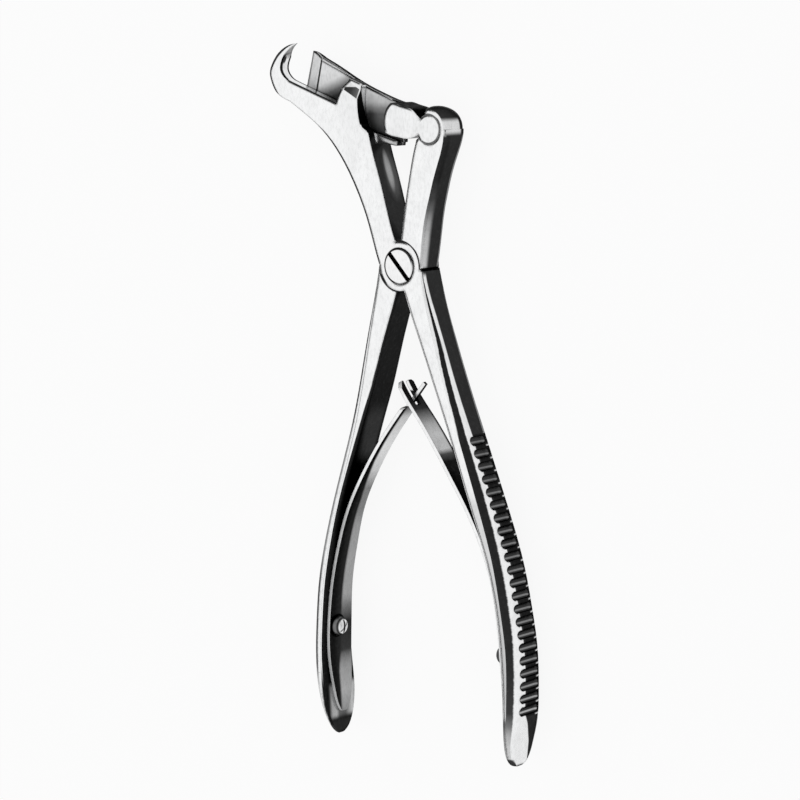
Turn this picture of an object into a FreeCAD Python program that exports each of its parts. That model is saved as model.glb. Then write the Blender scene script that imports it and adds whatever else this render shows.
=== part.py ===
import FreeCAD, Part
import math
import os

os.makedirs("parts", exist_ok=True)

V = FreeCAD.Vector

# Driving dimensions, in millimetres and degrees.
# The pivot axis is the Z axis, the jaws point along +Y, and the front faces look along +Z.
LEVER_THICKNESS = 11.0
LAP_HEIGHT = 5.5
LAP_GAP = 0.06
BOSS_RADIUS = 8.3
BOSS_CLEARANCE = 0.08
RUNNING_GAP = 0.05

PIVOT_SHANK_RADIUS = 3.5
PIVOT_HEAD_RADIUS = 5.85
PIVOT_HEAD_SEAT = 8.0
PIVOT_HEAD_TOP = 11.4
PIVOT_SLOT_WIDTH = 1.6
PIVOT_RIM_CHAMFER = 0.3
PIVOT_SLOT_DEPTH = 1.4
PIVOT_SLOT_ANGLE = -46.7

JAW_BACK = 6.4
BLADE_FRONT = 6.3
BLADE_BACK = 3.9
GUIDE_WALL_FRONT = 3.8
GUIDE_LINE_X = -4.2
GUIDE_LINE_Y = 40.55
GUIDE_LINE_SLOPE = -0.29
BLADE_LIFT = 0.15

KNUCKLE_X = 12.15
KNUCKLE_Y = 45.9
KNUCKLE_RADIUS = 4.75
SOCKET_RADIUS = 4.80
HEAD_RADIUS = 7.5
HEAD_BACK = 0.6
HEAD_FACE_RADIUS = 6.45
HEAD_BACK_RADIUS = 6.5

GROOVE_COUNT = 22
GROOVE_FIRST_Y = -56.6
GROOVE_LAST_Y = -144.6
GROOVE_BOW = 0.6
GROOVE_RADIUS = 1.7
GROOVE_DEPTH = 1.1
GROOVE_FIRST_HALF_LENGTH = 2.7
GROOVE_LAST_HALF_LENGTH = 3.8

LEAF_THICKNESS = 1.2
LEAF_SEAT_GAP = 0.02
FORK_SLOT_WIDTH = 2.6
TONGUE_WIDTH = 1.8
MID_HEIGHT = 5.5

LUG_LEDGE = 9.4

LEAF_SCREW_Y = -126.8
LEAF_SCREW_RISE = 1.8
LEAF_SCREW_SHANK_RADIUS = 1.5
LEAF_HOLE_RADIUS = 1.6
LEAF_SCREW_HEAD_RADIUS = 3.4
LEAF_SCREW_HEAD_HEIGHT = 3.1
LEAF_SCREW_DEPTH = 4.2

# Right handle: height along Y, inner face, outer face, depth in Z, outer corner radius in
# front, outer corner radius at the back.
RIGHT_SECTIONS = [
    (0.2, -1.2, 9.3, 11.0, 0.5, 1.9),
    (-5.0, 0.6, 10.3, 11.0, 0.9, 1.2),
    (-11.0, 2.7, 11.8, 11.0, 1.15, 1.0),
    (-25.0, 8.7, 16.8, 11.5, 1.9, 1.7),
    (-38.0, 14.3, 21.55, 12.0, 2.5, 1.8),
    (-56.0, 21.9, 29.05, 12.7, 3.1, 2.6),
    (-76.0, 29.8, 37.4, 13.6, 3.7, 3.7),
    (-98.0, 38.5, 45.35, 14.4, 4.2, 4.2),
    (-112.0, 41.95, 48.6, 14.8, 4.4, 4.4),
    (-124.0, 43.65, 50.65, 15.0, 4.4, 4.4),
    (-138.0, 44.8, 51.2, 15.3, 4.3, 4.3),
    (-150.0, 45.2, 50.3, 15.2, 3.7, 3.7),
    (-156.5, 45.1, 48.8, 13.8, 2.7, 2.7),
    (-160.8, 45.0, 48.0, 11.0, 1.9, 1.9),
    (-163.4, 45.2, 47.3, 7.0, 1.1, 1.1),
    (-164.3, 45.7, 46.8, 2.8, 0.6, 0.6),
]

# Left handle, in the same order.
LEFT_SECTIONS = [
    (0.3, 1.3, -8.6, 11.0, 0.5, 0.5),
    (-5.0, 0.1, -9.6, 11.0, 0.8, 0.8),
    (-11.0, -1.6, -10.9, 11.0, 0.9, 0.9),
    (-26.0, -6.4, -14.6, 11.5, 1.9, 1.9),
    (-42.0, -11.1, -18.1, 12.1, 2.6, 2.6),
    (-54.0, -15.3, -21.0, 12.6, 3.0, 3.0),
    (-65.0, -19.0, -24.2, 13.1, 3.3, 3.3),
    (-80.0, -23.8, -28.7, 13.7, 3.5, 3.5),
    (-100.0, -28.5, -33.9, 14.4, 4.0, 4.0),
    (-112.0, -30.4, -36.0, 14.8, 4.2, 4.2),
    (-124.0, -31.3, -36.9, 15.0, 4.2, 4.2),
    (-138.0, -31.3, -36.9, 15.8, 4.1, 4.1),
    (-149.0, -30.2, -35.3, 16.0, 3.5, 3.5),
    (-157.0, -29.7, -33.2, 13.8, 2.5, 2.5),
    (-161.5, -29.5, -31.9, 10.0, 1.7, 1.7),
    (-164.2, -29.7, -31.1, 5.4, 1.0, 1.0),
    (-165.0, -29.9, -30.8, 2.6, 0.6, 0.6),
]

# Right arm above the pivot: height along Y, inner side, outer side, back in Z, front corner
# radius, back corner radius.
ARM_SECTIONS = [
    (-0.9, -0.1, 9.9, 1.0, 1.4, 2.6),
    (5.6, 0.45, 10.6, 1.0, 1.4, 1.9),
    (12.6, 1.35, 11.6, 1.1, 1.5, 1.8),
    (19.5, 2.4, 13.0, 1.2, 1.4, 2.2),
    (24.8, 3.25, 14.4, 1.2, 1.3, 2.5),
    (30.4, 4.35, 15.9, 1.2, 1.2, 2.5),
    (36.0, 5.5, 17.8, 1.1, 1.1, 2.5),
    (41.0, 6.85, 19.3, 0.9, 1.1, 1.9),
    (45.9, 8.6, 19.8, 0.6, 1.1, 1.5),
]


def line(a, b):
    return Part.makeLine(V(a[0], a[1], 0), V(b[0], b[1], 0))


def curve(points):
    spline = Part.BSplineCurve()
    spline.interpolate([V(x, y, 0) for x, y in points])
    return spline.toShape()


def outline(steps):
    """Closed wire from steps; each step is ("line" or "curve", points), joined end to end."""
    edges = []
    last = None
    first = steps[0][1][0]
    for kind, points in steps:
        points = list(points)
        if last is not None:
            points = [last] + points
        if kind == "curve":
            edges.append(curve(points))
        else:
            for a, b in zip(points, points[1:]):
                edges.append(line(a, b))
        last = points[-1]
    if math.dist(last, first) > 1e-6:
        edges.append(line(last, first))
    return Part.Wire(Part.__sortEdges__(edges))


def prism(steps, low, high):
    face = Part.Face(outline(steps))
    face.translate(V(0, 0, low))
    return face.extrude(V(0, 0, high - low))


def polygon(points, low, high):
    return prism([("line", points)], low, high)


def cylinder(x, y, low, high, radius):
    return Part.makeCylinder(radius, high - low, V(x, y, low), V(0, 0, 1))


def guide_line(x, lift=0.0):
    return GUIDE_LINE_Y + GUIDE_LINE_SLOPE * (x - GUIDE_LINE_X) + lift


def beyond(a, b, c, towards, reach=30.0):
    """Block that starts at the plane through three points and fills the side named by towards."""
    normal = b.sub(a).cross(c.sub(a))
    normal.normalize()
    if normal.dot(towards) < 0:
        normal = normal.multiply(-1)
    block = Part.makeBox(2 * reach, 2 * reach, reach, V(-reach, -reach, 0))
    block.Placement = FreeCAD.Placement(a, FreeCAD.Rotation(V(0, 0, 1), normal))
    return block


def rounded_section(y, inner, outer, back, front, small, radius, back_radius):
    """Closed section in a plane of constant Y, with its own radius at each outer corner."""
    side = 1.0 if outer > inner else -1.0

    def p(across, height):
        return V(inner + side * across, y, height)

    width = abs(outer - inner)
    q = 1.0 - math.cos(math.pi / 4)
    edges = [
        Part.makeLine(p(0, front - small), p(0, back + small)),
        Part.Arc(p(0, back + small), p(q * small, back + q * small), p(small, back)).toShape(),
        Part.makeLine(p(small, back), p(width - back_radius, back)),
        Part.Arc(p(width - back_radius, back), p(width - q * back_radius, back + q * back_radius),
                 p(width, back + back_radius)).toShape(),
        Part.makeLine(p(width, back + back_radius), p(width, front - radius)),
        Part.Arc(p(width, front - radius), p(width - q * radius, front - q * radius),
                 p(width - radius, front)).toShape(),
        Part.makeLine(p(width - radius, front), p(small, front)),
        Part.Arc(p(small, front), p(q * small, front - q * small), p(0, front - small)).toShape(),
    ]
    return Part.Wire(edges)


def handle_section(y, inner, outer, depth, radius, back_radius):
    """Handle section: flat inner face with small corners, wide rounding on the outer corners."""
    small = min(0.9, 0.3 * abs(outer - inner), 0.3 * depth)
    most = min(0.72 * abs(outer - inner), 0.46 * depth)
    half = depth / 2.0
    return rounded_section(y, inner, outer, MID_HEIGHT - half, MID_HEIGHT + half, small,
                           min(radius, most), min(back_radius, most))


def handle(sections):
    wires = [handle_section(*section) for section in sections]
    return Part.makeLoft(wires, True, False)


def interpolate(sections, y, column):
    ordered = sorted(sections)
    for low, high in zip(ordered, ordered[1:]):
        if low[0] <= y <= high[0]:
            t = (y - low[0]) / (high[0] - low[0])
            return low[column] + t * (high[column] - low[column])
    raise ValueError("height outside the handle")


def hook_lever_outline():
    return [
        ("line", [(0.0, 0.0), (-8.45, 0.2)]),
        ("curve", [(-9.6, 3.2), (-11.2, 8.0), (-14.3, 16.6), (-18.5, 25.3), (-22.8, 32.4),
                   (-27.8, 38.9), (-33.3, 44.3), (-39.8, 48.8), (-47.4, 53.4)]),
        ("curve", [(-50.6, 54.5), (-53.6, 56.5), (-55.7, 60.0), (-56.4, 63.0), (-55.4, 66.0),
                   (-52.8, 69.5), (-49.5, 71.8), (-44.4, 73.1)]),
        ("curve", [(-47.8, 71.3), (-50.3, 68.9), (-51.5, 66.5), (-51.8, 64.2), (-50.8, 62.3),
                   (-49.3, 61.0), (-47.3, 60.1)]),
        ("line", [(-27.2, 53.2)]),
        ("curve", [(-26.2, 55.9), (-24.7, 58.5), (-22.4, 61.6)]),
        ("line", [(-17.3, 59.9)]),
        ("curve", [(-17.8, 57.0), (-17.9, 54.4), (-17.6, 50.2), (-16.7, 46.5)]),
        ("curve", [(-15.8, 45.4), (-14.3, 44.4), (-13.2, 43.0)]),
        ("curve", [(-11.1, 35.8), (-8.3, 27.7), (-5.9, 19.8), (-3.6, 12.4), (-1.9, 8.1)]),
    ]


def make_hook_lever():
    whole = prism(hook_lever_outline(), 0.0, LEVER_THICKNESS)
    below_guide = polygon([(-38.5, guide_line(-38.5)), (-42.0, 47.4), (-62.0, 40.0), (-62.0, -2.0),
                           (6.0, -2.0), (6.0, guide_line(6.0))], -1.0, LEVER_THICKNESS + 1.0)
    arm = whole.common(below_guide)
    front = whole.common(Part.makeBox(90, 90, 9, V(-70, -1, JAW_BACK)))
    rear_wall = whole.common(polygon([(-28.5, 45.0), (-26.4, 54.9), (-25.2, 57.4), (-24.0, 58.8),
                                      (-22.6, 59.1), (-16.6, 56.4), (-16.0, 40.0)],
                                     0.0, GUIDE_WALL_FRONT))
    trough = make_trough()
    boss = cylinder(0, 0, LAP_HEIGHT + LAP_GAP / 2, LEVER_THICKNESS, BOSS_RADIUS)
    above_shoulder = polygon([(-3.0, 0.0), (0.0, 0.0), (14.0, -1.16), (14.0, 3.0), (-3.0, 3.0)],
                             -1.0, LEVER_THICKNESS + 1.0)
    grip = handle(RIGHT_SECTIONS).cut(above_shoulder)
    body = arm.fuse([front, rear_wall, trough, boss, grip]).removeSplitter()
    pocket = cylinder(0, 0, -1.0, LAP_HEIGHT + LAP_GAP / 2, BOSS_RADIUS + BOSS_CLEARANCE)
    bore = cylinder(0, 0, -1.0, 20.0, PIVOT_SHANK_RADIUS + RUNNING_GAP)
    hole = PIVOT_HEAD_RADIUS + RUNNING_GAP
    counterbore = cylinder(0, 0, PIVOT_HEAD_SEAT - 0.03, 20.0, hole)
    rim = Part.makeCone(hole, hole + PIVOT_RIM_CHAMFER, PIVOT_RIM_CHAMFER,
                        V(0, 0, LEVER_THICKNESS - PIVOT_RIM_CHAMFER), V(0, 0, 1))
    body = body.cut([pocket, bore, counterbore, rim, hook_back_wedge(), lug_facet()])
    body = body.cut(groove_cutters())
    body = body.cut(leaf_seat(right_leaf_path(), RIGHT_SECTIONS))
    body = body.cut(leaf_screw_hole(RIGHT_SECTIONS))
    return body


def make_trough():
    """Guide channel that carries the lower edge of the blade to the right of the arm."""
    left = -16.0
    right = GUIDE_LINE_X
    floor = polygon([(left, guide_line(left)), (right, guide_line(right)),
                     (right - 0.1, guide_line(right) - 0.9), (left, guide_line(left) - 2.6)],
                    2.2, 7.2)
    front_lip = polygon([(left, guide_line(left) + 0.4), (right + 0.3, guide_line(right) + 0.7),
                         (right, guide_line(right) - 0.9), (left, guide_line(left) - 2.0)],
                        JAW_BACK, 7.2)
    rear_lip = polygon([(left, guide_line(left) + 0.4), (right + 0.3, guide_line(right) + 0.7),
                        (right, guide_line(right) - 0.9), (left, guide_line(left) - 2.0)],
                       2.2, GUIDE_WALL_FRONT)
    return floor.fuse([front_lip, rear_lip])


def hook_back_wedge():
    """Removes the back of the hook near its point, so that the point is thin."""
    wedge = Part.makeBox(24, 14, 8, V(-12, 0, -8))
    wedge.rotate(V(0, 0, 0), V(1, 0, 0), 27)
    wedge.rotate(V(0, 0, 0), V(0, 0, 1), -38)
    wedge.translate(V(-51.0, 68.4, JAW_BACK))
    return wedge


def lug_facet():
    """Bevel on the front top corner of the guide lug, down to a flat ledge."""
    return Part.makeBox(14, 12, 12, V(-28, 54, LUG_LEDGE)).common(beyond(
        V(-24.3, 58.3, LEVER_THICKNESS), V(-18.0, 55.0, LEVER_THICKNESS), V(-20.7, 61.7, 8.2),
        V(0, 0, 1)))


def groove_cutters():
    cutters = []
    length = GROOVE_LAST_Y - GROOVE_FIRST_Y
    growth = GROOVE_LAST_HALF_LENGTH - GROOVE_FIRST_HALF_LENGTH
    offset = GROOVE_RADIUS - GROOVE_DEPTH
    for number in range(GROOVE_COUNT):
        share = number / (GROOVE_COUNT - 1)
        y = GROOVE_FIRST_Y + length * share + GROOVE_BOW * math.sin(math.pi * share)
        x = interpolate(RIGHT_SECTIONS, y, 2)
        slope = (interpolate(RIGHT_SECTIONS, y + 1.5, 2) - interpolate(RIGHT_SECTIONS, y - 1.5, 2)) / 3
        stretch = math.hypot(1.0, slope)
        cx = x + offset / stretch
        cy = y - offset * slope / stretch
        half = GROOVE_FIRST_HALF_LENGTH + growth * share
        low = MID_HEIGHT - half
        high = MID_HEIGHT + half
        bar = cylinder(cx, cy, low, high, GROOVE_RADIUS)
        ends = [Part.makeSphere(GROOVE_RADIUS, V(cx, cy, low)),
                Part.makeSphere(GROOVE_RADIUS, V(cx, cy, high))]
        cutters.append(bar.fuse(ends))
    return cutters


def leaf_screw_axis(sections):
    """Point on the handle's inner face, nearer its front, and the way out of the steel there."""
    inner = interpolate(sections, LEAF_SCREW_Y, 1)
    side = 1.0 if interpolate(sections, LEAF_SCREW_Y, 2) > inner else -1.0
    step = 4.0
    slope = (interpolate(sections, LEAF_SCREW_Y + step, 1)
             - interpolate(sections, LEAF_SCREW_Y - step, 1)) / (2 * step)
    direction = V(-side, side * slope, 0)
    direction.normalize()
    return V(inner, LEAF_SCREW_Y, MID_HEIGHT + LEAF_SCREW_RISE), direction


def leaf_screw_hole(sections):
    point, direction = leaf_screw_axis(sections)
    into = V(direction).multiply(-1)
    return Part.makeCylinder(LEAF_SCREW_SHANK_RADIUS, LEAF_SCREW_DEPTH + 1.0,
                             point.add(direction), into)


def make_blade_lever():
    side = Part.Arc(V(HEAD_FACE_RADIUS, 0, LEVER_THICKNESS), V(HEAD_RADIUS, 0, MID_HEIGHT),
                    V(HEAD_BACK_RADIUS, 0, HEAD_BACK)).toShape()
    head = Part.Face(Part.Wire([
        side,
        Part.makeLine(V(HEAD_BACK_RADIUS, 0, HEAD_BACK), V(0, 0, HEAD_BACK)),
        Part.makeLine(V(0, 0, HEAD_BACK), V(0, 0, LEVER_THICKNESS)),
        Part.makeLine(V(0, 0, LEVER_THICKNESS), V(HEAD_FACE_RADIUS, 0, LEVER_THICKNESS))]))
    head = head.revolve(V(0, 0, 0), V(0, 0, 1), 360)
    head.translate(V(KNUCKLE_X, KNUCKLE_Y, 0))
    below_shoulder = polygon([(-3.0, 0.0), (0.0, 0.0), (14.0, -0.72), (14.0, -6.0), (-3.0, -6.0)],
                             -1.0, LEVER_THICKNESS + 1.0)
    arm = make_blade_arm().cut(below_shoulder)
    disc = cylinder(0, 0, 0.0, LAP_HEIGHT - LAP_GAP / 2, BOSS_RADIUS)
    above_shoulder = polygon([(3.0, 0.0), (0.0, 0.0), (-14.0, -0.5), (-14.0, 3.0), (3.0, 3.0)],
                             -1.0, LEVER_THICKNESS + 1.0)
    grip = handle(LEFT_SECTIONS).cut(above_shoulder)
    body = arm.fuse([head, disc, grip]).removeSplitter()
    pocket = cylinder(0, 0, LAP_HEIGHT - LAP_GAP / 2, 20.0, BOSS_RADIUS + BOSS_CLEARANCE)
    socket = cylinder(KNUCKLE_X, KNUCKLE_Y, -1.0, 20.0, SOCKET_RADIUS)
    mouth = prism([
        ("line", [(2.0, 60.0), (11.1, 60.0), (11.1, 51.5), (10.6, 49.8), (KNUCKLE_X, KNUCKLE_Y),
                  (9.5, 42.9)]),
        ("curve", [(8.3, 42.9), (7.3, 42.1), (6.8, 40.8)]),
        ("line", [(2.0, 40.8)]),
    ], -1.0, 20.0)
    thread = cylinder(0, 0, -1.0, 20.0, PIVOT_SHANK_RADIUS)
    body = body.cut([pocket, socket, mouth, thread])
    body = body.cut(leaf_seat(left_leaf_path(), LEFT_SECTIONS))
    return body.cut(leaf_screw_hole(LEFT_SECTIONS))


def make_blade_arm():
    wires = [rounded_section(y, inner, outer, back, LEVER_THICKNESS, 0.25, radius, back_radius)
             for y, inner, outer, back, radius, back_radius in ARM_SECTIONS]
    return Part.makeLoft(wires, True, False)


def make_blade():
    plate = prism([
        ("line", [(-42.6, 70.5)]),
        ("curve", [(-39.3, 69.6), (-36.9, 68.3), (-33.3, 66.65), (-28.8, 64.5), (-24.3, 62.2),
                   (-17.7, 59.2), (-11.8, 57.0), (-7.7, 55.6), (-2.0, 54.0)]),
        ("line", [(1.0, 50.0), (-1.6, 44.0), (-1.9, guide_line(-1.9, 1.0)),
                  (-21.0, guide_line(-21.0, BLADE_LIFT)), (-41.0, guide_line(-41.0, BLADE_LIFT)),
                  (-44.4, 54.4), (-46.0, 57.2), (-45.5, 59.2), (-44.2, 64.1), (-43.3, 67.4)]),
    ], BLADE_BACK, BLADE_FRONT)
    block = prism([
        ("line", [(-4.1, 53.6)]),
        ("curve", [(-5.5, 51.9), (-6.3, 49.4), (-6.4, 46.6), (-5.7, 44.2)]),
        ("curve", [(-4.0, 43.5), (0.1, 42.8), (2.4, 42.45), (4.0, 42.5), (5.6, 42.95), (8.1, 43.95)]),
        ("line", [(11.0, 44.2), (11.0, 48.4), (8.9, 48.8), (5.4, 51.9)]),
        ("curve", [(4.2, 52.4), (0.1, 53.35), (-2.6, 54.05), (-3.5, 54.1)]),
    ], 0.2, LEVER_THICKNESS)
    knuckle = cylinder(KNUCKLE_X, KNUCKLE_Y, 0.2, LEVER_THICKNESS, KNUCKLE_RADIUS)
    body = plate.fuse([block, knuckle]).removeSplitter()
    return body.cut([edge_bevel(), top_bevel()])


def edge_bevel():
    """Grinds the front of the cutting edge from the full thickness down to a thin edge."""
    return beyond(V(-37.4, 68.2, BLADE_FRONT), V(-40.2, 55.5, BLADE_FRONT),
                  V(-44.2, 64.1, BLADE_BACK + 0.3), V(0, 0, 1))


def top_bevel():
    """Small bevel along the front top edge of the blade."""
    return Part.makeBox(34, 18, 4, V(-37, 52.5, BLADE_BACK + 0.2)).common(beyond(
        V(-36.6, 67.2, BLADE_FRONT), V(-2.6, 53.1, BLADE_FRONT), V(-28.8, 64.9, BLADE_FRONT - 0.5),
        V(0, 0, 1)))


def make_pivot_screw():
    shank = cylinder(0, 0, 0.0, PIVOT_HEAD_SEAT, PIVOT_SHANK_RADIUS)
    head = cylinder(0, 0, PIVOT_HEAD_SEAT, PIVOT_HEAD_TOP, PIVOT_HEAD_RADIUS)
    rim = [edge for edge in head.Edges
           if abs(edge.BoundBox.ZMin - PIVOT_HEAD_TOP) < 1e-6 and edge.BoundBox.XLength > 5]
    head = head.makeChamfer(PIVOT_RIM_CHAMFER, rim)
    slot = Part.makeBox(20, PIVOT_SLOT_WIDTH, 4,
                        V(-10, -PIVOT_SLOT_WIDTH / 2, PIVOT_HEAD_TOP - PIVOT_SLOT_DEPTH))
    slot.rotate(V(0, 0, 0), V(0, 0, 1), PIVOT_SLOT_ANGLE)
    return shank.fuse(head).removeSplitter().cut(slot)


def leaf_face_x(sections, y):
    """Face of the leaf that lies on the handle."""
    inner = interpolate(sections, y, 1)
    side = 1.0 if interpolate(sections, y, 2) > inner else -1.0
    return inner - side * LEAF_SEAT_GAP


def leaf_blank(seat, free):
    """Bent strip: seat points lie on the handle, free points lead to the tip."""
    inwards = 1.0 if seat[0][0] < 0 else -1.0
    path = seat + free
    far = []
    for number, (x, y) in enumerate(path):
        before = path[max(number - 1, 0)]
        after = path[min(number + 1, len(path) - 1)]
        length = math.dist(before, after)
        tx = (after[0] - before[0]) / length
        ty = (after[1] - before[1]) / length
        far.append((x + inwards * ty * LEAF_THICKNESS, y - inwards * tx * LEAF_THICKNESS))
    far.reverse()
    return prism([("curve", path), ("line", [far[0]]), ("curve", far[1:])], -4.0, 15.0)


def width_mask(stations, tip):
    """Outline of the leaf seen from the side, as heights along Y and half widths."""
    upper = [(y, MID_HEIGHT + half) for y, half in stations]
    lower = [(y, MID_HEIGHT - half) for y, half in reversed(stations)]
    points = [V(-80, y, z) for y, z in upper + tip + lower]
    edges = []
    count = len(upper)
    top = Part.BSplineCurve()
    top.interpolate(points[:count])
    bottom = Part.BSplineCurve()
    bottom.interpolate(points[-count:])
    edges.append(top.toShape())
    middle = points[count - 1:len(points) - count + 1]
    for a, b in zip(middle, middle[1:]):
        edges.append(Part.makeLine(a, b))
    edges.append(bottom.toShape())
    edges.append(Part.makeLine(points[-1], points[0]))
    return Part.Face(Part.Wire(Part.__sortEdges__(edges))).extrude(V(160, 0, 0))


def left_leaf_path():
    seat = [(leaf_face_x(LEFT_SECTIONS, y), y) for y in (-157.0, -149.0, -138.0, -124.0, -112.0)]
    free = [(-27.2, -96.0), (-24.0, -85.0), (-18.8, -74.0), (-10.2, -60.0), (-3.4, -51.0),
            (2.2, -44.1), (6.5, -38.9)]
    return seat, free


def right_leaf_path():
    seat = [(leaf_face_x(RIGHT_SECTIONS, y), y) for y in (-156.5, -150.0, -138.0, -124.0, -112.0)]
    free = [(38.2, -98.0), (33.6, -88.0), (28.0, -78.6), (21.2, -69.0), (14.2, -59.2),
            (7.9, -51.1), (2.4, -44.6), (-1.5, -39.0)]
    return seat, free


def leaf_seat(path, sections):
    """Trims the handle to the curve of its leaf, so that the leaf lies on it without touching."""
    cutter = leaf_blank(path[0], path[1])
    side = 1.0 if sections[0][2] > sections[0][1] else -1.0
    cutter.translate(V(side * LEAF_SEAT_GAP, 0, 0))
    return cutter


def make_left_leaf():
    seat, free = left_leaf_path()
    half = TONGUE_WIDTH / 2
    mask = width_mask([(-157.4, 0.8), (-154.0, 3.1), (-149.0, 4.4), (-140.0, 5.5), (-128.0, 5.9),
                       (-112.0, 5.3), (-96.0, 4.8), (-84.0, 4.2), (-72.0, 3.8), (-60.0, 3.55)],
                      [(-48.6, MID_HEIGHT + 3.45), (-47.9, MID_HEIGHT + 2.8),
                       (-47.6, MID_HEIGHT + half), (-38.4, MID_HEIGHT + 0.6),
                       (-38.4, MID_HEIGHT - 0.6), (-47.6, MID_HEIGHT - half),
                       (-47.9, MID_HEIGHT - 2.8), (-48.6, MID_HEIGHT - 3.45)])
    body = leaf_blank(seat, free).common(mask)
    return body.cut(leaf_clearance_hole(LEFT_SECTIONS))


def make_right_leaf():
    seat, free = right_leaf_path()
    mask = width_mask([(-157.0, 0.8), (-154.0, 3.1), (-149.0, 4.4), (-140.0, 5.5), (-128.0, 5.9),
                       (-112.0, 5.7), (-96.0, 5.3), (-80.0, 4.7), (-64.0, 4.2)],
                      [(-41.3, MID_HEIGHT + 3.9), (-38.9, MID_HEIGHT + 1.9),
                       (-38.9, MID_HEIGHT - 2.9), (-39.6, MID_HEIGHT - 3.9)])
    body = leaf_blank(seat, free).common(mask)
    slot = Part.makeBox(30, 14, FORK_SLOT_WIDTH, V(-10, -46.9, MID_HEIGHT - FORK_SLOT_WIDTH / 2))
    return body.cut([slot, leaf_clearance_hole(RIGHT_SECTIONS)])


def leaf_clearance_hole(sections):
    point, direction = leaf_screw_axis(sections)
    start = point.sub(V(direction).multiply(4))
    return Part.makeCylinder(LEAF_HOLE_RADIUS, 8.0, start, direction)


def make_leaf_screw(sections):
    """Round-headed slotted screw that holds a leaf on its handle; built along X, then placed."""
    point, direction = leaf_screw_axis(sections)
    seat = LEAF_SEAT_GAP + LEAF_THICKNESS + 0.05
    height = LEAF_SCREW_HEAD_HEIGHT
    radius = LEAF_SCREW_HEAD_RADIUS
    flank = 0.6
    top = radius * 0.28
    profile = Part.Wire([
        Part.makeLine(V(0, 0, 0), V(0, radius, 0)),
        Part.makeLine(V(0, radius, 0), V(flank, radius, 0)),
        Part.Arc(V(flank, radius, 0), V(height * 0.83, radius * 0.66, 0), V(height, top, 0)).toShape(),
        Part.makeLine(V(height, top, 0), V(height, 0, 0)),
        Part.makeLine(V(height, 0, 0), V(0, 0, 0)),
    ])
    head = Part.Face(profile).revolve(V(0, 0, 0), V(1, 0, 0), 360)
    shank = Part.makeCylinder(LEAF_SCREW_SHANK_RADIUS, seat + LEAF_SCREW_DEPTH - 0.2, V(0, 0, 0),
                              V(-1, 0, 0))
    slot = Part.makeBox(2, 10, 0.8, V(height - 0.8, -5, -0.4))
    screw = head.fuse(shank).removeSplitter().cut(slot)
    screw.Placement = FreeCAD.Placement(point.add(V(direction).multiply(seat)),
                                        FreeCAD.Rotation(V(1, 0, 0), direction))
    return screw


def main():
    nodes = {
        "hook_lever": make_hook_lever(),
        "blade_lever": make_blade_lever(),
        "sliding_blade": make_blade(),
        "pivot_screw": make_pivot_screw(),
        "left_leaf_spring": make_left_leaf(),
        "right_leaf_spring": make_right_leaf(),
        "left_leaf_screw": make_leaf_screw(LEFT_SECTIONS),
        "right_leaf_screw": make_leaf_screw(RIGHT_SECTIONS),
    }
    for name, shape in nodes.items():
        shape = shape.removeSplitter()
        if not shape.isValid() or len(shape.Solids) != 1:
            print("CHECK", name, shape.isValid(), len(shape.Solids))
        shape.exportStep("parts/" + name + ".step")
        box = shape.BoundBox
        print(name, round(shape.Volume, 1), [round(v, 2) for v in (
            box.XMin, box.XMax, box.YMin, box.YMax, box.ZMin, box.ZMax)])


main()
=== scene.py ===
import math

import bpy
from mathutils import Matrix, Vector


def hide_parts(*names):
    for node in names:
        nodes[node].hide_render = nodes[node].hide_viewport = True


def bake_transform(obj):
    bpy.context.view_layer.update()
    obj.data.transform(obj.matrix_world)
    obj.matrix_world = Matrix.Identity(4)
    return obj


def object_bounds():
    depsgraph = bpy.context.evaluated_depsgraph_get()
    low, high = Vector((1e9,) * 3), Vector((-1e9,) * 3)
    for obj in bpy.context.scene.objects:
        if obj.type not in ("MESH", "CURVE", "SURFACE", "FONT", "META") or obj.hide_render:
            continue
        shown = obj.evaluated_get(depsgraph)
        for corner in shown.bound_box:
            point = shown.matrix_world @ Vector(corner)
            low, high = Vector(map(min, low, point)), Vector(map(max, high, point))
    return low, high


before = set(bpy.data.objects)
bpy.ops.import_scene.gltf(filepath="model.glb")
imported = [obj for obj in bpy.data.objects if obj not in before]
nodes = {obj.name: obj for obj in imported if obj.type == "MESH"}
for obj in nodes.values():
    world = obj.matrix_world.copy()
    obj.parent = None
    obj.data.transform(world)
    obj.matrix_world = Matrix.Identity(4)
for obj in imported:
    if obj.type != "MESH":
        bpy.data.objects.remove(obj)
cad_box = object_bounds()

MM = 0.001

# The photograph's view: where the camera stands and which way it looks, in metres.
CAMERA_PLACE = Vector((0.621007, 0.095846, 0.788922))
CAMERA_BACK = Vector((0.617443, 0.140105, 0.774039))
CAMERA_RIGHT = Vector((0.781749, 0.0, -0.623593))
LENS_MM = 135
SENSOR_MM = 36

# The room, in metres and watts. The camera and mirror reflections see the world at the white
# strength, and matte surfaces are lit by it at the world strength. The camera sees the floor as
# plain white by the share of its glow, and the rest of the floor shows the shadow.
FLOOR_SIZE = 30.0
FLOOR_COLOUR = (0.93, 0.93, 0.93, 1)
FLOOR_GLOW = 0.9
WHITE_STRENGTH = 1.0
WORLD_STRENGTH = 0.72
KEY_PLACE = Vector((-1.15, -0.15, 1.35))
KEY_SIZE = 1.6
KEY_WATTS = 1.2

# Levels of the painted reflections of light and shade on polished steel, by which way a surface faces, from
# 0, black, to 255, white.
FACE = 233
SIDE = 50
BACK = 205
HIDDEN_SIDE = 150
END_FACE = 56
RIM_HIGHLIGHT = 241

# Finger grooves of the right handle, in millimetres as in the solid.
GROOVE_FIRST_Y = -56.6
GROOVE_RUN = 88.0
GROOVE_COUNT = 22
GROOVE_BOW = 0.6
GROOVE_HALF_WIDTH = 1.59
MID_HEIGHT = 5.5

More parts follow.
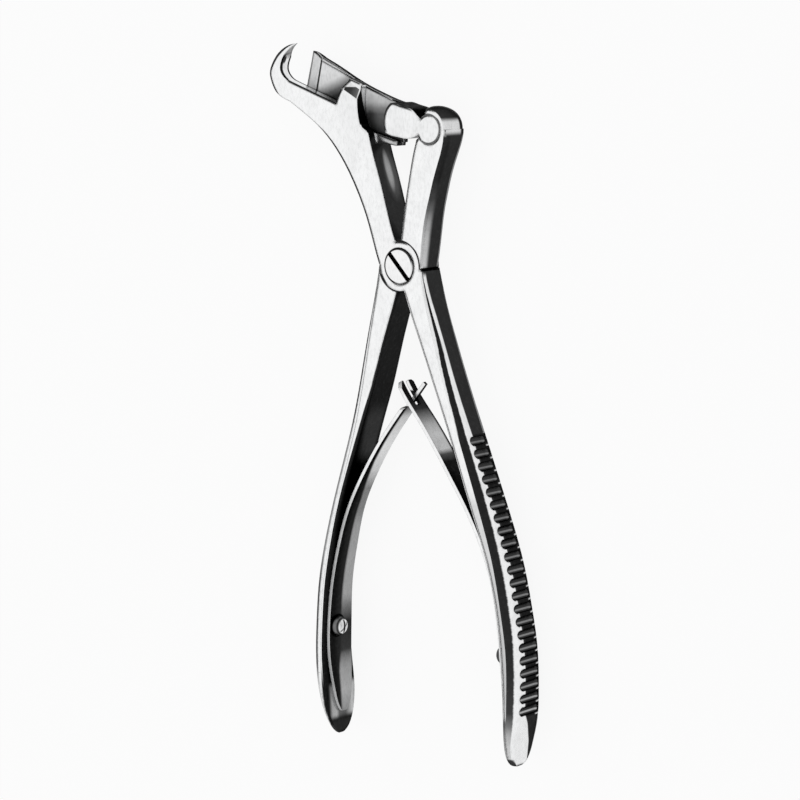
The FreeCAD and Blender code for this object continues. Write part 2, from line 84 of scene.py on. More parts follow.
# Centres and radii of round forms seen from the front, in millimetres.
PIVOT = (0.0, 0.0)
KNUCKLE = (12.15, 45.9)
KNUCKLE_RADIUS = 4.78
BOSS_RADIUS = 8.34
SCREW_RADIUS = 5.85

# Height of the levers' front face, where the handles begin along Y, and the middles of the two
# leaf screws' heads, in millimetres.
LEVER_FRONT = 11.0
HANDLE_TOP = -2.5
LEFT_SCREW = (-29.4, -126.8, 7.3)
RIGHT_SCREW = (39.5, -126.8, 7.3)

# Painted dark lines, standing in for the dark reflections in rounded edges, show on the edges that face this
# way, up and to the left.
LINE_SIDE = (-0.85, 0.53, 0.0)


def tone(level):
    """Linear grey of a level from 0 to 255."""
    share = level / 255
    if share <= 0.04045:
        return share / 12.92
    return ((share + 0.055) / 1.055) ** 2.4


def feed(tree, socket, value):
    """Sets a socket to a number, or links it to another socket."""
    if isinstance(value, bpy.types.NodeSocket):
        tree.links.new(value, socket)
    else:
        socket.default_value = value


def maths(tree, operation, first, second=0.0):
    made = tree.nodes.new("ShaderNodeMath")
    made.operation = operation
    feed(tree, made.inputs[0], first)
    feed(tree, made.inputs[1], second)
    return made.outputs[0]


def diagonal(tree, across, up):
    """The square root of the sum of the squares of two numbers."""
    squares = maths(tree, "ADD", maths(tree, "MULTIPLY", across, across), maths(tree, "MULTIPLY", up, up))
    return maths(tree, "SQRT", squares)


def smooth(tree, value, low, high, at_low=0.0, at_high=1.0):
    """A soft step of value between low and high."""
    made = tree.nodes.new("ShaderNodeMapRange")
    made.interpolation_type = "SMOOTHSTEP"
    feed(tree, made.inputs["Value"], value)
    made.inputs["From Min"].default_value = low
    made.inputs["From Max"].default_value = high
    made.inputs["To Min"].default_value = at_low
    made.inputs["To Max"].default_value = at_high
    return made.outputs[0]


def between(tree, first, second, share):
    """A number that goes from first to second as share goes from 0 to 1."""
    made = tree.nodes.new("ShaderNodeMix")
    made.data_type = "FLOAT"
    feed(tree, made.inputs[0], share)
    feed(tree, made.inputs[2], first)
    feed(tree, made.inputs[3], second)
    return made.outputs[0]


def split(tree, vector):
    made = tree.nodes.new("ShaderNodeSeparateXYZ")
    tree.links.new(vector, made.inputs[0])
    return made.outputs


def dot(tree, vector, along):
    made = tree.nodes.new("ShaderNodeVectorMath")
    made.operation = "DOT_PRODUCT"
    tree.links.new(vector, made.inputs[0])
    made.inputs[1].default_value = along
    return made.outputs["Value"]


def ramp(tree, value, stops):
    """A number that follows (value, number) stops, with numbers from 0 to 1."""
    low = stops[0][0]
    reach = stops[-1][0] - low
    share = maths(tree, "DIVIDE", maths(tree, "SUBTRACT", value, low), reach)
    made = tree.nodes.new("ShaderNodeValToRGB")
    elements = made.color_ramp.elements
    while len(elements) > 1:
        elements.remove(elements[-1])
    for number, (at, light) in enumerate(stops):
        if number:
            element = elements.new((at - low) / reach)
        else:
            element = elements[0]
            element.position = 0.0
        element.color = (light, light, light, 1)
    tree.links.new(share, made.inputs[0])
    return made.outputs[0]


class Steel:
    """The nodes of one steel material; places are in millimetres in the piece's own frame."""

    def __init__(self, name, edge=1.5):
        self.material = bpy.data.materials.new(name)
        self.material.use_nodes = True
        self.tree = tree = self.material.node_tree
        coordinates = tree.nodes.new("ShaderNodeTexCoord")
        scaled = tree.nodes.new("ShaderNodeVectorMath")
        scaled.operation = "SCALE"
        scaled.inputs["Scale"].default_value = 1 / MM
        tree.links.new(coordinates.outputs["Object"], scaled.inputs[0])
        self.place = scaled.outputs[0]
        self.x, self.y, self.z = split(tree, self.place)
        self.normal = coordinates.outputs["Normal"]
        self.nx, self.ny, self.nz = split(tree, self.normal)
        self.angle = maths(tree, "DEGREES", maths(tree, "ARCTAN2", self.nx, self.nz))
        self.rounded, self.tilt = self.edges(edge)
        self.front = (self.nz, 0.7, None, 0.1)
        self.grey = tone(FACE)

    def edges(self, radius):
        """The facing with its edges rounded, and how far that turns from the true facing."""
        tree = self.tree
        bevel = tree.nodes.new("ShaderNodeBevel")
        bevel.samples = 8
        bevel.inputs["Radius"].default_value = radius * MM
        own = tree.nodes.new("ShaderNodeVectorTransform")
        own.vector_type = "NORMAL"
        own.convert_from = "WORLD"
        own.convert_to = "OBJECT"
        tree.links.new(bevel.outputs[0], own.inputs[0])
        turned = tree.nodes.new("ShaderNodeVectorMath")
        turned.operation = "SUBTRACT"
        tree.links.new(own.outputs[0], turned.inputs[0])
        tree.links.new(self.normal, turned.inputs[1])
        return bevel.outputs[0], turned.outputs[0]

    def less(self, value, amount):
        return maths(self.tree, "SUBTRACT", value, amount)

    def levels(self, value, stops):
        """A grey that follows (value, level) stops."""
        return ramp(self.tree, value, [(at, tone(level)) for at, level in stops])

    def curve(self, value, stops, top):
        """A number between 0 and top that follows (value, number) stops."""
        shares = ramp(self.tree, value, [(at, number / top) for at, number in stops])
        return maths(self.tree, "MULTIPLY", shares, top)

    def off(self, centre):
        """Distance from the line along Z through centre."""
        return diagonal(self.tree, self.less(self.x, centre[0]), self.less(self.y, centre[1]))

    def clear_of_corner(self):
        """The window that leaves out the lower right of the pivot, where its rings have no line."""
        return (dot(self.tree, self.place, (0.7, -0.7, 0.0)), None, 3.0, 1.2)

    def share(self, windows):
        """How far each value lies inside its window; a window is value, low, high, softness."""
        total = None
        for value, low, high, soft in windows:
            parts = []
            if low is not None:
                parts.append(smooth(self.tree, value, low - soft, low + soft))
            if high is not None:
                parts.append(smooth(self.tree, value, high - soft, high + soft, 1.0, 0.0))
            for part in parts:
                total = part if total is None else maths(self.tree, "MULTIPLY", total, part)
        return total

    def paint(self, level, *windows):
        """Gives the surface a level where all windows are open."""
        light = level if isinstance(level, bpy.types.NodeSocket) else tone(level)
        self.grey = between(self.tree, self.grey, light, self.share(windows))

    def spot(self, level, centre, size, soft=0.5, *windows):
        """Gives the surface a level inside a soft oval."""
        total = None
        for value, middle, half in zip((self.x, self.y, self.z), centre, size):
            if half is None:
                continue
            away = maths(self.tree, "DIVIDE", self.less(value, middle), half)
            squared = maths(self.tree, "MULTIPLY", away, away)
            total = squared if total is None else maths(self.tree, "ADD", total, squared)
        self.paint(level, (total, None, 1.0, soft), *windows)

    def lay_base(self, right=SIDE, end=END_FACE):
        """Painted reflections by facing: light front and back, dark right side and upper ends, grey left
        side and lower ends.
        """
        self.grey = self.levels(self.angle, [
            (-180, BACK), (-140, BACK), (-125, HIDDEN_SIDE), (-60, HIDDEN_SIDE), (-48, 60), (-36, 60),
            (-26, FACE), (48, FACE), (56, right), (104, right), (114, 150), (135, 170), (150, BACK),
            (180, BACK)])
        self.paint(end, (self.ny, 0.62, None, 0.12), (self.nz, -0.6, 0.7, 0.1))
        self.paint(HIDDEN_SIDE, (self.ny, None, -0.62, 0.12), (self.nz, -0.6, 0.7, 0.1))

    def draw_rim_highlights(self):
        """Painted highlights: bright rims where the front meets the right side, and round the back and the
        left side.
        """
        tilt_x, tilt_y, tilt_z = split(self.tree, self.tilt)
        self.paint(RIM_HIGHLIGHT, (tilt_x, 0.14, None, 0.06), self.front)
        self.paint(RIM_HIGHLIGHT, (tilt_z, 0.3, None, 0.08), (self.nz, None, 0.4, 0.1), (self.nx, 0.3, None, 0.1))
        across = maths(self.tree, "ABSOLUTE", tilt_x)
        size = maths(self.tree, "ADD", across, maths(self.tree, "ABSOLUTE", tilt_y))
        self.paint(235, (size, 0.3, None, 0.15), (self.nz, None, -0.5, 0.1))
        self.paint(190, (size, 0.3, None, 0.15), (self.nx, None, -0.5, 0.1))

    def draw_lines(self, level=50, *windows):
        """Thin painted dark lines on the left and upper edges of the front, standing in for dark reflections
        in their rounding.
        """
        towards = dot(self.tree, self.tilt, LINE_SIDE)
        self.paint(level, (towards, 0.055, None, 0.025), self.front, *windows)

    def noise(self, scale, detail=2.0, stretch=(1, 1, 1)):
        """Noise over the piece; scale is in lumps for each millimetre."""
        mapping = self.tree.nodes.new("ShaderNodeMapping")
        mapping.inputs["Scale"].default_value = stretch
        self.tree.links.new(self.place, mapping.inputs[0])
        made = self.tree.nodes.new("ShaderNodeTexNoise")
        made.inputs["Scale"].default_value = scale
        made.inputs["Detail"].default_value = detail
        self.tree.links.new(mapping.outputs[0], made.inputs["Vector"])
        return made.outputs[0]

    def finish(self, roughness=(0.2, 0.33), grain=0.10, satin=None):
        """Adds grain, uneven roughness and a fine ground texture, and wires up the shader.

        Inside the satin window the pale parts are dull, because they would mirror dark walls.
        """
        tree = self.tree
        cloud = smooth(tree, self.noise(0.16, 3.0), 0.3, 0.7, 1.0, 1.0 - grain / 2)
        specks = smooth(tree, self.noise(1.3, 4.0, (1, 0.45, 1)), 0.4, 0.75, 1.0, 1.0 - grain)
        grey = maths(tree, "MULTIPLY", maths(tree, "MULTIPLY", self.grey, cloud), specks)
        grey = maths(tree, "ADD", grey, smooth(tree, self.noise(0.9, 3.0), 0.45, 0.8, 0.0, 0.008))
        shader = tree.nodes["Principled BSDF"]
        colour = tree.nodes.new("ShaderNodeCombineColor")
        for name, tint in (("Red", 0.995), ("Green", 1.0), ("Blue", 1.004)):
            tree.links.new(maths(tree, "MULTIPLY", grey, tint), colour.inputs[name])
        tree.links.new(colour.outputs[0], shader.inputs["Base Color"])
        if satin:
            pale = smooth(tree, self.grey, 0.03, 0.3, 0.0, 0.9)
            dull = maths(tree, "MULTIPLY", pale, self.share([satin]))
            tree.links.new(maths(tree, "SUBTRACT", 1.0, dull), shader.inputs["Metallic"])
        else:
            shader.inputs["Metallic"].default_value = 1.0
        tree.links.new(smooth(tree, self.grey, 0.1, 0.5, 0.4, 1.0), shader.inputs["Specular Tint"])
        rough = smooth(tree, self.noise(0.5, 3.0, (1, 0.3, 1)), 0.3, 0.7, roughness[0], roughness[1])
        tree.links.new(rough, shader.inputs["Roughness"])
        bump = tree.nodes.new("ShaderNodeBump")
        bump.inputs["Strength"].default_value = 0.3
        bump.inputs["Distance"].default_value = 0.01 * MM
        tree.links.new(self.noise(2.2, 3.0, (1, 0.2, 1)), bump.inputs["Height"])
        tree.links.new(self.rounded, bump.inputs["Normal"])
        tree.links.new(bump.outputs[0], shader.inputs["Normal"])
        return self.material


def paint_jaw(steel):
    """Hook, jaw, lug and arm of the hook lever, above the pivot."""
    inner = (steel.nz, None, 0.5, 0.1)
    # A painted patch of slightly dimmer reflection on the front near the lug.
    steel.spot(229, (-19.5, 48.5, None), (6.5, 14.0, None), 0.7, steel.front)

    # The inside of the hook and the top of the jaw: a painted dark line, a painted light band and a painted
    # dark line.
    hook = (dot(steel.tree, steel.place, (-1.0, 0.35, 0.0)), 45.5, None, 0.6)
    upwards = (dot(steel.tree, steel.normal, (0.85, 0.5, 0.0)), 0.35, None, 0.1)
    steel.paint(30, hook, upwards, inner)
    steel.paint(241, hook, upwards, inner, (steel.z, 7.2, 9.6, 0.2), (steel.y, None, 68.8, 1.2))
    steel.paint(170, hook, upwards, inner, (steel.z, 7.2, 8.6, 0.3), (steel.y, 68.0, 72.0, 0.8))
    steel.spot(55, (-50.6, 67.4, 9.3), (3.0, 1.3, 0.7), 0.6, hook, upwards, inner)
    jaw = (steel.x, -49.0, -27.6, 0.4)
    steel.paint(242, jaw, (steel.ny, 0.7, None, 0.1), (steel.z, 7.3, 10.0, 0.2), (steel.y, 52.0, 61.5, 0.5))

    # Painted shade on the bevel of the guide lug.
    facet = (dot(steel.tree, steel.normal, (0.3, 0.5, 0.6)), 0.75, 0.97, 0.04)
    shade = steel.levels(steel.x, [(-24.5, 40), (-21.0, 58), (-18.5, 100)])
    steel.paint(shade, facet, (steel.y, 54.0, 58.9, 0.15), (steel.x, -23.6, -18.2, 0.15),
                (steel.nz, 0.2, 0.93, 0.03))

    # The lug's right side has painted shade in front, and further back the same painted light as the blade
    # beside it.
    side = (steel.nx, 0.8, None, 0.08)
    beside = (steel.x, -18.6, -16.2, 0.2)
    dark_to = steel.curve(steel.y, [(46.5, 6.4), (50.5, 7.1), (58.5, 9.0)], 10)
    steel.paint(20, beside, side, (steel.y, 46.5, 59.5, 0.2))
    light = steel.levels(steel.y, [(47, 70), (50.5, 120), (54, 215), (59, 245)])
    steel.paint(light, beside, side, (steel.less(steel.z, dark_to), None, 0.0, 0.15),
                (steel.y, 46.5, 59.5, 0.2))

    # A soft painted highlight on the painted dark right side of the arm.
    arm = (steel.x, None, -3.0, 0.5)
    steel.spot(84, (None, 29.5, 3.6), (None, 7.0, 3.0), 0.95, side, arm)
    steel.spot(158, (None, 31.0, 4.5), (None, 5.6, 1.5), 0.95, side, arm)

    # Painted shade in the trough that the blade slides in, and painted light on its front lip.
    steel.paint(30, (steel.x, -17.3, -15.4, 0.1), (steel.y, 39.0, 46.0, 0.4), (steel.z, None, 10.6, 0.1))
    trough = (steel.x, -15.3, -3.0, 0.2)
    lip = (steel.z, 6.9, 7.5, 0.05)
    steel.paint(188, trough, lip, steel.front, (steel.y, 39.0, 46.0, 0.4))


def paint_right_handle(steel):
    """Painted reflections: white front, dark band, white band and dark side, and the painted shading of the
    finger grooves.
    """
    below = (steel.y, None, HANDLE_TOP, 1.0)
    dark_from = steel.curve(steel.y, [
        (-165, 0), (-77, 1), (-62, 4), (-47, 14), (-31, 26), (-23, 41), (-12, 52), (-4, 58)], 100)
    dark_to = steel.curve(steel.y, [
        (-165, 36), (-128, 36), (-116, 41), (-93, 43), (-77, 50), (-54, 55), (-39, 66), (-23, 80),
        (-12, 82), (-4, 70)], 100)
    white_down_to = steel.curve(steel.y, [
        (-165, 2.0), (-156, 3.2), (-149, 6.0), (-145, 8.2), (-60, 8.2), (-55, 7.7), (-16, 7.8),
        (-4, 8.9)], 10)
    past_from = (steel.less(steel.angle, dark_from), 0.0, None, 2.5)
    past_to = (steel.less(steel.angle, dark_to), 0.0, None, 4.0)
    before_to = (steel.less(steel.angle, dark_to), None, 0.0, 4.0)
    in_front = (steel.less(steel.z, white_down_to), 0.0, None, 0.3)
    sideways = (steel.angle, None, 100.0, 4.0)
    steel.paint(242, below, past_to, in_front, sideways)
    steel.paint(SIDE, below, past_to, (steel.less(steel.z, white_down_to), None, 0.0, 0.3), sideways)
    band = steel.levels(steel.y, [
        (-165, 150), (-163, 215), (-157, 205), (-152.5, 178), (-149.5, 120), (-145, 62), (-130, 44),
        (-90, 38), (-4, 32)])
    steel.paint(band, below, past_from, before_to)
    steel.paint(band, (steel.y, None, -147.5, 1.5), (steel.angle, -36.0, None, 5.0), before_to)
    # Painted shade along the left edge and on the lower end, and a lighter painted reflection on the back
    # side.
    steel.paint(64, (steel.y, None, -20.0, 3.0), (steel.angle, None, -24.0, 5.0), (steel.nz, 0.3, None, 0.1))
    steel.draw_lines(50, below)
    steel.paint(60, (steel.ny, None, -0.4, 0.1), (steel.y, None, -161.2, 0.4))
    steel.paint(140, (steel.y, -57.0, -8.0, 1.5), (steel.angle, 96.0, 140.0, 4.0))

    # Grooves: painted shade, with a painted light stripe just below the middle of each, and painted
    # highlights on the ridges at the back.
    gone = maths(steel.tree, "SUBTRACT", GROOVE_FIRST_Y, steel.y)
    lifted = maths(steel.tree, "SINE", maths(steel.tree, "MULTIPLY", gone, math.pi / GROOVE_RUN))
    gone = maths(steel.tree, "ADD", gone, maths(steel.tree, "MULTIPLY", lifted, GROOVE_BOW))
    pitch = GROOVE_RUN / (GROOVE_COUNT - 1)
    count = maths(steel.tree, "DIVIDE", gone, pitch)
    phase = steel.less(maths(steel.tree, "FRACT", maths(steel.tree, "ADD", count, 0.5)), 0.5)
    beside = maths(steel.tree, "MULTIPLY", phase, pitch)
    half_length = steel.curve(steel.y, [(GROOVE_FIRST_Y - GROOVE_RUN, 3.8), (GROOVE_FIRST_Y, 2.7)], 10)
    along = steel.less(maths(steel.tree, "ABSOLUTE", steel.less(steel.z, MID_HEIGHT)), half_length)
    along = maths(steel.tree, "MAXIMUM", along, 0.0)
    from_axis = diagonal(steel.tree, along, beside)
    outside = (steel.nx, 0.3, None, 0.1)
    grooved = (count, -0.5, GROOVE_COUNT - 0.5, 0.04)
    steel.paint(34, grooved, outside, (steel.z, None, 7.3, 0.3))
    steel.paint(200, grooved, outside, (phase, 0.38, 0.54, 0.04), (steel.z, None, 2.2, 0.5))
    steel.paint(14, grooved, outside, (from_axis, None, GROOVE_HALF_WIDTH, 0.08))
    steel.paint(58, grooved, outside, (from_axis, None, GROOVE_HALF_WIDTH - 0.4, 0.12))
    stripe = steel.levels(steel.y, [(-146, 180), (-135, 140), (-60, 120)])
    steel.paint(stripe, grooved, outside, (phase, 0.06, 0.19, 0.03), (from_axis, None, 1.25, 0.15),
                (steel.less(steel.z, half_length), None, MID_HEIGHT + 0.5, 0.3))


def make_hook_lever_steel():
    """The lever with the hooked jaw and the right handle."""
    steel = Steel("hook_lever_steel")
    steel.lay_base()
    steel.draw_rim_highlights()
    paint_jaw(steel)
    steel.draw_lines(50, (steel.y, HANDLE_TOP, None, 0.5))
    paint_right_handle(steel)

    # Painted shade in the seam between the levers on the right, and in a ring round the screw.
    steel.paint(12, (steel.y, -1.3, -0.7, 0.1), (steel.x, 8.2, None, 0.2), (steel.nx, 0.5, None, 0.2))
    ring = (steel.off(PIVOT), SCREW_RADIUS - 0.1, SCREW_RADIUS + 0.42, 0.08)
    steel.paint(66, ring, (steel.z, LEVER_FRONT - 0.7, None, 0.1), steel.clear_of_corner())
    return steel.finish()


def make_blade_lever_steel():
    """The lever with the socket and the left handle."""
    steel = Steel("blade_lever_steel")
    steel.lay_base()
    steel.draw_rim_highlights()
    above = (steel.y, 0.0, None, 0.8)

    # Arm above the pivot: painted reflections, where the rounded edge goes from grey near the pivot to black
    # near the head.
    edge = steel.levels(steel.y, [(-1, 200), (8, 190), (15, 160), (19, 105), (23, 66), (30, 36), (42, 40)])
    steel.paint(edge, above, (steel.angle, 6.0, None, 5.0), (steel.y, None, 44.0, 0.8),
                (steel.z, 8.8, None, 1.1))
    steel.paint(FACE, above, steel.front, (steel.angle, None, 4.0, 3.0))
    steel.paint(140, above, (steel.angle, 95.0, 145.0, 4.0), (steel.y, None, 44.0, 1.0))
    # Painted shade in the seam between the levers on the right.
    steel.paint(12, (steel.y, -1.0, -0.1, 0.1), (steel.x, 8.2, None, 0.2), (steel.nx, 0.4, None, 0.2))

    # Head: a painted highlight on its side, painted shade above it and close round the socket.
    head = (steel.off(KNUCKLE), None, 9.0, 0.2)
    barrel = (steel.nz, -0.6, 0.92, 0.06)
    steel.paint(48, head, barrel, (steel.nx, 0.0, None, 0.2), (steel.y, 44.0, None, 0.5))
    steel.paint(222, head, barrel, (steel.nx, 0.5, None, 0.1), (steel.y, 44.6, 49.0, 0.9),
                (steel.z, 3.2, None, 0.5))
    steel.paint(34, head, (steel.off(KNUCKLE), None, KNUCKLE_RADIUS + 1.0, 0.1), barrel)

    # Left handle: a thin painted grey reflection in the rounding of its outer edge, and a painted dark
    # reflection on its inner side.
    below = (steel.y, None, HANDLE_TOP, 1.0)
    line = steel.levels(steel.y, [
        (-165, 150), (-158, 195), (-148, 215), (-140, 90), (-112, 95), (-100, 150), (-60, 150), (-50, 66),
        (-26, 66), (-4, 100)])
    steel.paint(line, below, (steel.angle, -40.0, -18.0, 5.0))
    steel.paint(80, below, (steel.angle, -62.0, -40.0, 5.0))
    turn = steel.curve(steel.y, [
        (-165, 12), (-150, 22), (-140, 34), (-100, 38), (-50, 42), (-20, 60), (-4, 70)], 100)
    past_turn = steel.less(steel.angle, steel.less(turn, 30))
    dark = steel.levels(steel.y, [(-150, 20), (-110, 26), (-4, 42)])
    steel.paint(dark, below, (past_turn, 0.0, None, 6.0), (steel.angle, None, 100.0, 4.0))
    # Painted lighter and darker patches on the inner side, painted bands of light and shade near its end,
    # and painted shade on the lower end.
    inner = (steel.nx, 0.85, None, 0.1)
    steel.paint(58, inner, (steel.y, -72.0, -50.0, 4.0), (steel.z, 1.0, 9.5, 1.0))
    steel.paint(14, inner, (steel.y, -96.0, -67.0, 3.0))
    end = steel.levels(steel.z, [
        (-2.5, 160), (0.0, 195), (3.5, 96), (7.0, 100), (8.5, 178), (10.6, 165), (11.9, 50), (12.6, 18)])
    steel.paint(end, inner, (steel.y, -159.0, -147.5, 1.2))
    steel.paint(44, inner, (steel.y, None, -160.0, 1.5))
    steel.paint(60, (steel.ny, None, -0.4, 0.1), (steel.y, None, -161.5, 0.4))

    # Painted dark edge reflections on the upper left edges, and painted shade lines round the socket and
    # round the boss.
    steel.draw_lines(50)
    ring = steel.off(KNUCKLE)
    steel.paint(120, (ring, None, KNUCKLE_RADIUS + 0.36, 0.1), steel.front)
    boss = (steel.off(PIVOT), None, BOSS_RADIUS + 0.5, 0.1)
    steel.paint(46, boss, steel.front, (steel.z, LEVER_FRONT - 1.0, None, 0.3))
    return steel.finish()


def make_blade_steel():
    """The thin plate with painted shading, its bevels, and the light block and knuckle."""
    steel = Steel("blade_steel")
    steel.lay_base(end=12)
    steel.draw_rim_highlights()
    front = (steel.nz, 0.97, None, 0.015)
    plate = (steel.z, None, 6.6, 0.05)

    # Painted shading: the left part of the plate darkens to the lower right, the right part downwards.
    slant = dot(steel.tree, steel.place, (-0.38, 1.0, 0.0))
    left = steel.levels(slant, [(67.5, 48), (69.5, 96), (71.5, 185), (73.5, 245), (76.0, 252)])
    steel.paint(left, front, plate, (steel.x, None, -20.0, 0.5))
    right = steel.levels(steel.y, [(43.0, 60), (50.0, 96), (52.0, 150), (54.0, 215), (58.0, 245)])
    steel.paint(right, front, plate, (steel.x, -20.0, None, 0.5))

    # Cutting bevel: painted light, darker at its foot, with a painted dark line along its inner edge.
    bevel = (steel.nx, None, -0.1, 0.04)
    bevel_light = steel.levels(steel.y, [(56.0, 170), (59.0, 230), (62.0, 254)])
    steel.paint(bevel_light, bevel, (steel.nz, 0.6, None, 0.1))
    inwards = dot(steel.tree, steel.place, (0.978, -0.2075, 0.0))
    steel.paint(60, front, plate, (inwards, None, -50.0, 0.12), (steel.y, None, 67.6, 0.2))

    # The painted light on the top bevel, the painted shadow round the block and the painted dark line along
    # the top.
    steel.paint(240, (steel.ny, 0.1, 0.6, 0.04), (steel.nz, 0.6, None, 0.1), (steel.y, 50.0, None, 0.5))
    steel.spot(50, (0.0, 47.5, None), (7.9, 8.6, None), 0.12, front, plate)
    upper = dot(steel.tree, steel.tilt, (0.3, 0.9, 0.0))
    steel.paint(16, (upper, 0.1, None, 0.05), (steel.nz, 0.6, None, 0.1), plate)
    steel.draw_lines(56, (steel.z, 8.0, None, 0.2))
    # A painted grey line along the edge of the cutting bevel, and a painted shade line round the socket.
    steel.paint(130, (dot(steel.tree, steel.tilt, (-1.0, 0.0, 0.0)), 0.12, None, 0.06), bevel)
    ring = steel.off(KNUCKLE)
    steel.paint(120, (ring, KNUCKLE_RADIUS - 0.36, KNUCKLE_RADIUS + 0.1, 0.1), front,
                (steel.x, 9.6, None, 0.4))
    return steel.finish(roughness=(0.34, 0.46), grain=0.12, satin=(steel.z, None, 6.8, 0.2))


def make_screw_steel():
    """Light head with a painted dark shade line round it; what lies below the levers' front, as in the slot,
    is painted black as shade.
    """
    steel = Steel("pivot_screw_steel", 0.3)
    steel.lay_base()
    steel.paint(8, (steel.z, None, LEVER_FRONT, 0.05))
    steel.paint(60, (steel.off(PIVOT), SCREW_RADIUS - 0.42, None, 0.08), steel.clear_of_corner())
    return steel.finish(roughness=(0.26, 0.36), grain=0.09)


def make_leaf_screw_steel(name, middle):
    """Round head with a grey line across it: painted highlight where it looks out, painted shade round its
    foot.
    """
    steel = Steel(name, 0.3)
    steel.grey = steel.levels(steel.nx, [
        (-1.0, 190), (-0.4, 80), (0.1, 110), (0.45, 120), (0.6, 30), (0.7, 70), (0.8, 252), (1.0, 230)])
    steel.paint(26, (steel.x, None, middle[0], 0.2))
    slant = dot(steel.tree, steel.place, (0.0, 0.75, 0.66))
    across = steel.less(slant, 0.75 * middle[1] + 0.66 * middle[2])
    steel.paint(110, (steel.nx, 0.8, None, 0.05), (across, -0.5, 0.1, 0.12))
    return steel.finish(roughness=(0.3, 0.4), grain=0.16)


def make_left_leaf_steel():
    """Painted shade towards its front edge, and painted light towards its back edge along most of its
    length.
    """
    steel = Steel("left_leaf_steel", 0.25)
    steel.lay_base(right=40)
    face = (steel.nz, None, 0.6, 0.1)
    right = (steel.nx, 0.3, None, 0.1)
    light = steel.levels(steel.y, [
        (-158, 150), (-150, 195), (-141, 172), (-136, 60), (-126, 45), (-121, 120), (-116, 188), (-92, 178),
        (-86, 140), (-78, 135), (-71, 205), (-62, 225), (-52, 200), (-48, 110), (-46, 50)])
    dark = steel.levels(steel.z, [(2.0, 40), (6.5, 42), (9.0, 26), (11.5, 22)])
    steel.paint(dark, face, right)
    edge_of_light = steel.curve(steel.y, [
        (-158, 6.9), (-143, 6.8), (-136, 5.4), (-82, 4.9), (-68, 6.9), (-46, 7.3)], 10)
    steel.paint(light, face, right, (steel.less(steel.z, edge_of_light), None, 0.0, 0.7))

    # Painted shade in a ring round the screw's head.
    around = diagonal(steel.tree, steel.less(steel.y, LEFT_SCREW[1]), steel.less(steel.z, LEFT_SCREW[2]))
    steel.paint(10, right, (around, None, 4.1, 0.15))
    return steel.finish(grain=0.14, satin=(steel.y, None, -80.0, 12.0))


def make_right_leaf_steel():
    """Leaf with painted dark reflection and one painted light patch below its fork."""
    steel = Steel("right_leaf_steel", 0.25)
    steel.lay_base(right=34)
    face = (steel.nz, None, 0.6, 0.1)
    right = (steel.nx, 0.3, None, 0.1)
    light = steel.levels(steel.y, [
        (-70, 28), (-64.5, 30), (-62.2, 80), (-60.6, 195), (-56, 195), (-53, 172), (-50.5, 125), (-48, 52),
        (-44, 26)])
    steel.paint(30, face, right)
    steel.paint(light, face, right, (steel.z, 2.3, None, 0.5))

    # Painted shade on the inside of the fork.
    steel.paint(24, steel.front, (steel.z, None, 6.0, 0.3), (steel.y, -47.0, -42.4, 0.3))
    return steel.finish(grain=0.14)


def dress(name, material):
    """Gives a CAD node its material."""
    piece = nodes[name]
    for slot in piece.material_slots:
        slot.link = "OBJECT"
        slot.material = material
    if not piece.material_slots:
        piece.data.materials.append(material)


def make_camera():
    data = bpy.data.cameras.new("camera")
    data.lens = LENS_MM
    data.sensor_width = SENSOR_MM
    camera = bpy.data.objects.new("camera", data)
    up = CAMERA_BACK.cross(CAMERA_RIGHT)
    turn = Matrix((CAMERA_RIGHT, up, CAMERA_BACK)).transposed()
    camera.matrix_world = Matrix.Translation(CAMERA_PLACE) @ turn.to_4x4()
    bpy.context.scene.collection.objects.link(camera)
    bpy.context.scene.camera = camera


def seen(tree):
    """One for what the camera sees, also in a reflection or through glass, and otherwise zero."""
    paths = tree.nodes.new("ShaderNodeLightPath")
    direct = maths(tree, "MAXIMUM", paths.outputs["Is Camera Ray"], paths.outputs["Is Glossy Ray"])
    return maths(tree, "MAXIMUM", direct, paths.outputs["Is Transmission Ray"])


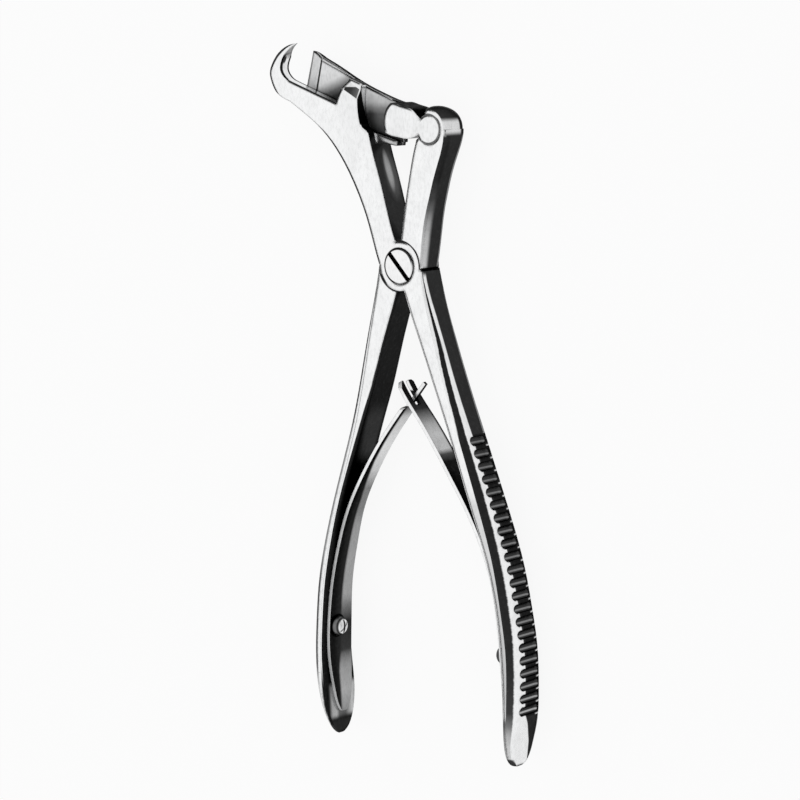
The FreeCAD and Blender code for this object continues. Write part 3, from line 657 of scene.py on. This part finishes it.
def make_lights():
    scene = bpy.context.scene
    scene.view_settings.view_transform = "Standard"
    world = bpy.data.worlds.new("room")
    scene.world = world
    world.use_nodes = True
    tree = world.node_tree
    background = tree.nodes["Background"]
    background.inputs["Color"].default_value = (1, 1, 1, 1)
    tree.links.new(between(tree, WORLD_STRENGTH, WHITE_STRENGTH, seen(tree)), background.inputs["Strength"])
    light = bpy.data.lights.new("key", "AREA")
    light.shape = "SQUARE"
    light.size = KEY_SIZE
    light.energy = KEY_WATTS
    key = bpy.data.objects.new("key", light)
    key.location = KEY_PLACE
    key.rotation_euler = KEY_PLACE.to_track_quat("Z", "Y").to_euler()
    scene.collection.objects.link(key)


def make_floor():
    bpy.ops.mesh.primitive_plane_add(size=FLOOR_SIZE, location=(0, 0, cad_box[0].z))
    floor = bpy.context.object
    floor.name = "floor"
    material = bpy.data.materials.new("floor")
    material.use_nodes = True
    tree = material.node_tree
    shader = tree.nodes["Principled BSDF"]
    shader.inputs["Base Color"].default_value = FLOOR_COLOUR
    shader.inputs["Roughness"].default_value = 0.9
    shader.inputs["Specular IOR Level"].default_value = 0.0
    glow = tree.nodes.new("ShaderNodeEmission")
    mix = tree.nodes.new("ShaderNodeMixShader")
    tree.links.new(maths(tree, "MULTIPLY", seen(tree), FLOOR_GLOW), mix.inputs[0])
    tree.links.new(shader.outputs[0], mix.inputs[1])
    tree.links.new(glow.outputs[0], mix.inputs[2])
    tree.links.new(mix.outputs[0], tree.nodes["Material Output"].inputs[0])
    floor.data.materials.append(material)


def leaf(name, node, material):
    """A leaf spring: a copy of the CAD node's mesh with its own material, put in place of the node, which is
    hidden.
    """
    mesh = nodes[node].data.copy()
    piece = bpy.data.objects.new(name, mesh)
    bpy.context.scene.collection.objects.link(piece)
    mesh.materials.clear()
    mesh.materials.append(material)
    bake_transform(piece)
    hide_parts(node)


make_camera()
make_lights()
make_floor()
dress("hook_lever", make_hook_lever_steel())
dress("blade_lever", make_blade_lever_steel())
dress("sliding_blade", make_blade_steel())
dress("pivot_screw", make_screw_steel())
dress("left_leaf_screw", make_leaf_screw_steel("left_leaf_screw_steel", LEFT_SCREW))
dress("right_leaf_screw", make_leaf_screw_steel("right_leaf_screw_steel", RIGHT_SCREW))
leaf("left_leaf", "left_leaf_spring", make_left_leaf_steel())
leaf("right_leaf", "right_leaf_spring", make_right_leaf_steel())
